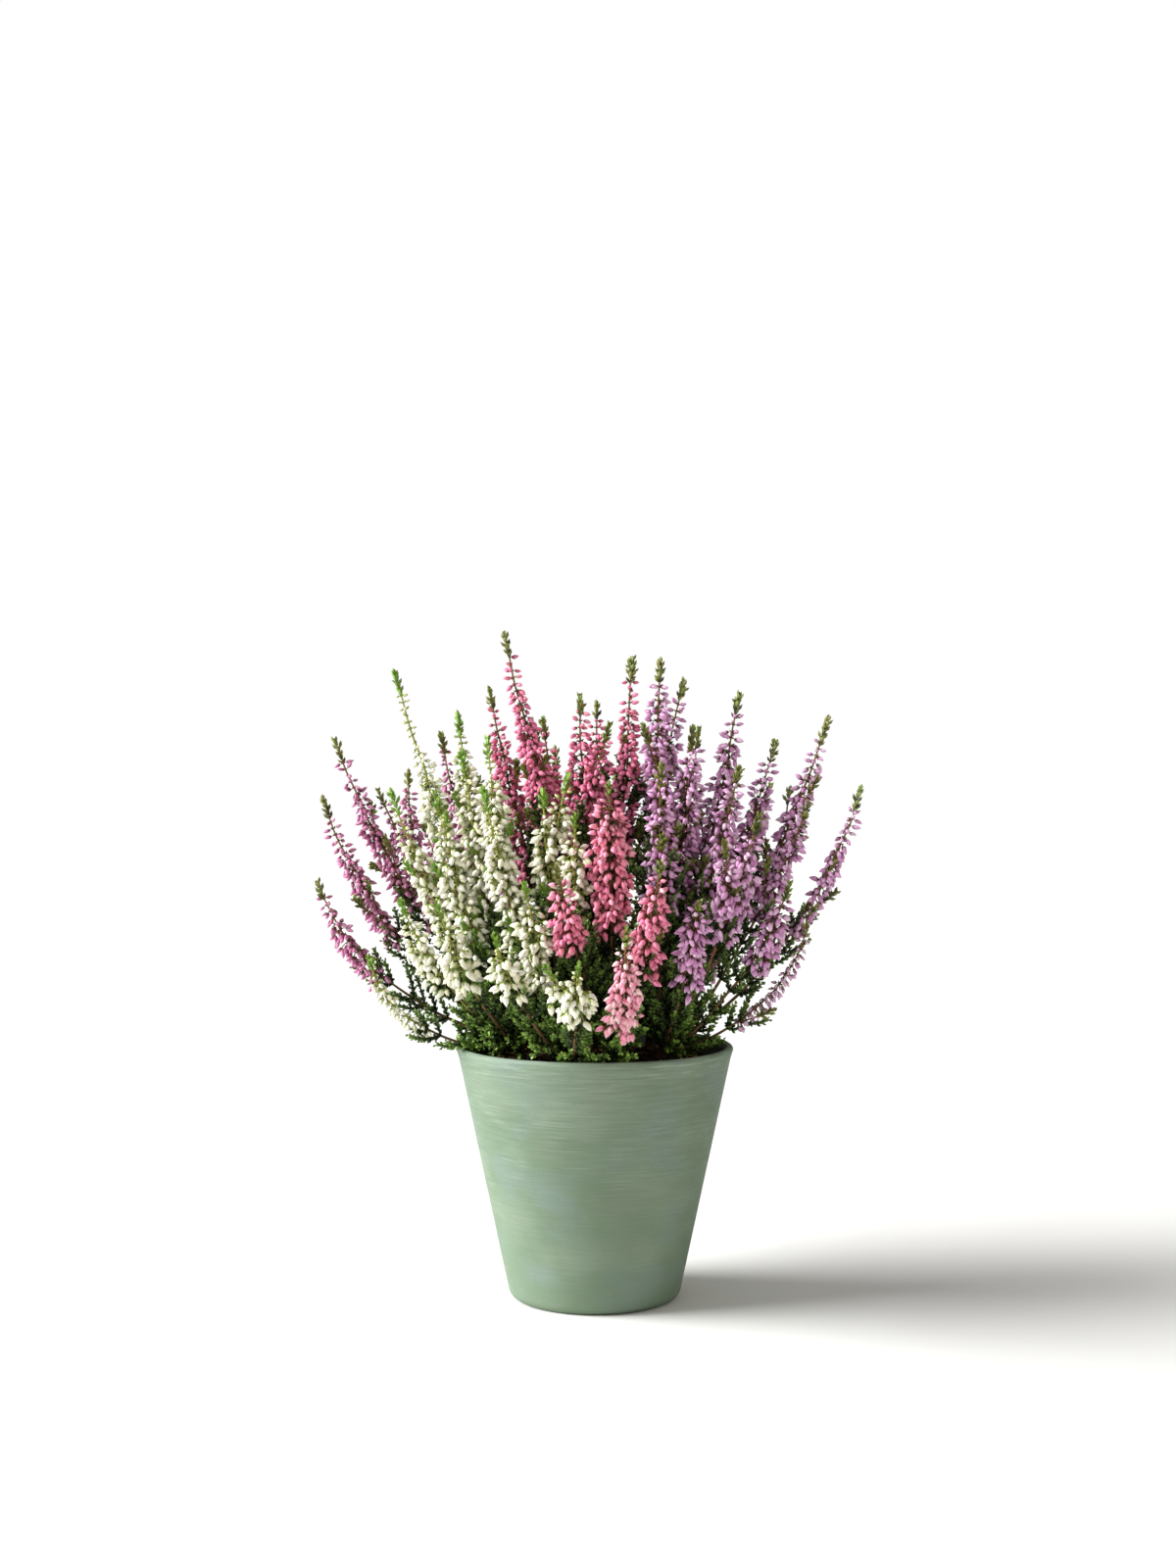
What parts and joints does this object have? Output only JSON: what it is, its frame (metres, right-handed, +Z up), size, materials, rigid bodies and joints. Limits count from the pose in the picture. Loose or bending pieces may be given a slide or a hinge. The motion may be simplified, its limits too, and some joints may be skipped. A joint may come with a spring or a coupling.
{
  "type": "potted heath",
  "caption": "Common heather in white, rose, lilac and mauve, planted together in a round tapered pot on a flat foot.",
  "frame": {"origin": "centre of the pot's flat foot", "axes": "+Z up along the pot's axis, -Y towards the side that the picture shows"},
  "size_m": [0.257, 0.2263, 0.312],
  "materials": {
    "pot": "matte, with fine turned lines",
    "soil": "matte, crumbly",
    "foliage": "matte",
    "white_flowers": "matte",
    "rose_flowers": "matte",
    "lilac_flowers": "matte",
    "mauve_flowers": "matte"
  },
  "bodies": {
    "root": {"lilac_back_plant": "foliage", "lilac_front_plant": "foliage", "lilac_spike_1": "lilac_flowers", "lilac_spike_10": "lilac_flowers", "lilac_spike_11": "lilac_flowers", "lilac_spike_12": "lilac_flowers", "lilac_spike_13": "lilac_flowers", "lilac_spike_14": "lilac_flowers", "lilac_spike_15": "lilac_flowers", "lilac_spike_16": "lilac_flowers", "lilac_spike_17": "lilac_flowers", "lilac_spike_2": "lilac_flowers", "lilac_spike_3": "lilac_flowers", "lilac_spike_4": "lilac_flowers", "lilac_spike_5": "lilac_flowers", "lilac_spike_6": "lilac_flowers", "lilac_spike_7": "lilac_flowers", "lilac_spike_8": "lilac_flowers", "lilac_spike_9": "lilac_flowers", "mauve_plant": "foliage", "mauve_spike_1": "mauve_flowers", "mauve_spike_2": "mauve_flowers", "mauve_spike_3": "mauve_flowers", "mauve_spike_4": "mauve_flowers", "mauve_spike_5": "mauve_flowers", "mauve_spike_6": "mauve_flowers", "mauve_spike_7": "mauve_flowers", "mauve_spike_8": "mauve_flowers", "pot": "pot", "rose_back_plant": "foliage", "rose_front_plant": "foliage", "rose_spike_1": "rose_flowers", "rose_spike_10": "rose_flowers", "rose_spike_11": "rose_flowers", "rose_spike_12": "rose_flowers", "rose_spike_13": "rose_flowers", "rose_spike_2": "rose_flowers", "rose_spike_3": "rose_flowers", "rose_spike_4": "rose_flowers", "rose_spike_5": "rose_flowers", "rose_spike_6": "rose_flowers", "rose_spike_7": "rose_flowers", "rose_spike_8": "rose_flowers", "rose_spike_9": "rose_flowers", "soil": "soil", "white_front_plant": "foliage", "white_left_plant": "foliage", "white_spike_1": "white_flowers", "white_spike_10": "white_flowers", "white_spike_11": "white_flowers", "white_spike_12": "white_flowers", "white_spike_13": "white_flowers", "white_spike_2": "white_flowers", "white_spike_3": "white_flowers", "white_spike_4": "white_flowers", "white_spike_5": "white_flowers", "white_spike_6": "white_flowers", "white_spike_7": "white_flowers", "white_spike_8": "white_flowers", "white_spike_9": "white_flowers"}
  },
  "joints": []
}
